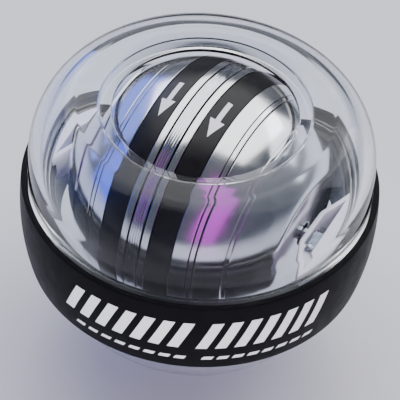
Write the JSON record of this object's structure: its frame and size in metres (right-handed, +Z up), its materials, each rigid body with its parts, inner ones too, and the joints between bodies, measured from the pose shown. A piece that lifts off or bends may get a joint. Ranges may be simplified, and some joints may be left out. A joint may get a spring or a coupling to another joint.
{
  "type": "gyroscopic wrist ball",
  "caption": "Palm-sized exercise ball: a heavy spring-started rotor spins in a guide ring inside clear shells, with a black grip band and an opening on top for the thumb.",
  "frame": {"origin": "centre of the flat base, on the surface that the ball stands on", "axes": "+Z up through the opening; +X to the right as seen from the front; the axle lies in a level plane, turned 27 degrees from +X towards the front"},
  "size_m": [0.0722, 0.0722, 0.0644],
  "materials": {
    "clear_shell": "polished clear polycarbonate",
    "silicone": "satin black silicone",
    "white_plastic": "moulded white acetal",
    "chrome": "polished chrome plate on cast zinc",
    "tread_rubber": "smooth black rubber",
    "steel": "turned steel",
    "spring_steel": "blued spring steel",
    "bronze": "sintered bronze"
  },
  "bodies": {
    "housing": {"upper_shell": "clear_shell", "lower_shell": "clear_shell", "grip_band": "silicone"},
    "carrier": {"guide_ring": "white_plastic", "shaft_bush_left": "bronze", "shaft_bush_right": "bronze", "pawl_spring": "spring_steel", "pawl_rivet": "steel"},
    "axle": {"rotor_shaft": "steel", "ratchet_wheel": "steel", "shaft_collar": "steel", "spring_arbor": "steel", "spiral_spring": "spring_steel"},
    "rotor": {"spring_drum": "steel", "drum_lid": "steel", "spring_post": "steel", "centre_ring": "chrome", "rotor_half_left": "chrome", "rotor_half_right": "chrome", "rotor_bush_left": "bronze", "rotor_bush_right": "bronze", "tread_band_left": "tread_rubber", "tread_band_right": "tread_rubber", "trim_ring_left": "chrome", "trim_ring_right": "chrome", "side_cap_left": "chrome", "side_cap_right": "chrome", "rotor_screw_1": "steel", "rotor_screw_2": "steel", "rotor_screw_3": "steel", "rotor_screw_4": "steel"}
  },
  "joints": [
    {"name": "precession", "type": "hinge", "parent": "housing", "child": "carrier", "pos_m": [0, 0, 0.0375], "axis": [0, 0, 1], "continuous": true},
    {"name": "rotor_spin", "type": "hinge", "parent": "carrier", "child": "axle", "pos_m": [0, 0, 0.0375], "axis": [0.891, -0.454, 0], "continuous": true, "deforming": ["pawl_spring"]},
    {"name": "spring_wind", "type": "hinge", "parent": "axle", "child": "rotor", "pos_m": [0, 0, 0.0375], "axis": [0.891, -0.454, 0], "range_deg": [0, 1800], "stiffness_Nm_per_rad": 0.001, "deforming": ["spiral_spring"]}
  ]
}
